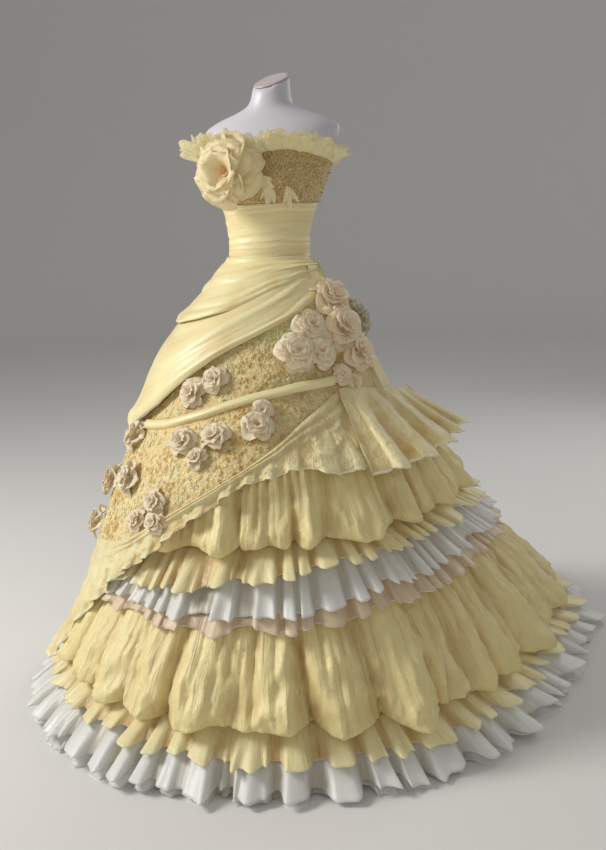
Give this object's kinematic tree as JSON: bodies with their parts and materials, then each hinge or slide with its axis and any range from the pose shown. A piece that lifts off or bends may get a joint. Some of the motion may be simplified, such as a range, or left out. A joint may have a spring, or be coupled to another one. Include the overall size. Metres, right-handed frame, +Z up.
{
  "type": "ball gown on a dress form",
  "caption": "Strapless ball gown with draped lace overskirt, rose trim and ruffled, puffed organza tiers ending in a train, on a limbless dress form with a pole and round foot.",
  "frame": {"origin": "centre of the underside of the stand's round foot, on the floor under the pole", "axes": "+Z up, the gown's front towards -Y, the wearer's left towards +X, the train towards +Y"},
  "size_m": [1.4523, 1.788, 1.5684],
  "materials": {
    "form_shell": "smooth satin moulded shell",
    "neck_cap": "flat fabric cap",
    "stand_metal": "polished steel",
    "yellow_organza": "crisp translucent organza over satin lining",
    "pale_organza": "soft pale yellow organza",
    "white_organza": "sheer white organza",
    "blush_organza": "sheer blush organza",
    "gold_lace": "beaded golden lace",
    "embroidered_lace": "lace embroidered with orange, yellow and lime flowers",
    "rose_fabric": "rolled organza petals",
    "peach_rose": "organza spiral with a peach centre",
    "tulle": "gathered tulle"
  },
  "bodies": {
    "root": {"form_torso": "form_shell", "form_neck_cap": "neck_cap", "stand_foot": "stand_metal", "stand_pole": "stand_metal", "bodice_shell": "gold_lace", "neckline_ruffle": "pale_organza", "midriff_wrap": "yellow_organza", "foundation_skirt": "yellow_organza", "puff_tier_upper": "yellow_organza", "middle_ruffle_yellow": "yellow_organza", "middle_ruffle_white": "white_organza", "middle_ruffle_blush": "blush_organza", "puff_tier_lower": "yellow_organza", "lower_ruffle_yellow": "yellow_organza", "lower_ruffle_white": "white_organza", "lower_veil": "white_organza", "overskirt_flounce": "yellow_organza", "lace_panel": "embroidered_lace", "lace_fold": "pale_organza", "swathe_lower": "pale_organza", "swathe_upper": "pale_organza", "waist_tab": "pale_organza", "hip_jabot": "pale_organza", "hip_rose_01": "rose_fabric", "hip_rose_02": "rose_fabric", "hip_rose_03": "rose_fabric", "hip_rose_04": "rose_fabric", "hip_rose_05": "rose_fabric", "hip_rose_06": "rose_fabric", "hip_rose_07": "rose_fabric", "hip_rose_08": "rose_fabric", "lace_rose_01": "rose_fabric", "lace_rose_02": "rose_fabric", "lace_rose_03": "rose_fabric", "lace_rose_04": "rose_fabric", "lace_rose_05": "rose_fabric", "lace_rose_06": "rose_fabric", "lace_rose_07": "rose_fabric", "lace_rose_08": "rose_fabric", "lace_rose_09": "rose_fabric", "lace_rose_10": "rose_fabric", "lace_rose_11": "rose_fabric", "lace_rose_12": "rose_fabric", "lace_rose_13": "rose_fabric", "lace_rose_14": "rose_fabric", "bust_rose": "peach_rose", "bust_leaf_1": "pale_organza", "bust_leaf_2": "pale_organza", "bust_leaf_3": "pale_organza", "tulle_tuft": "tulle"}
  },
  "joints": []
}
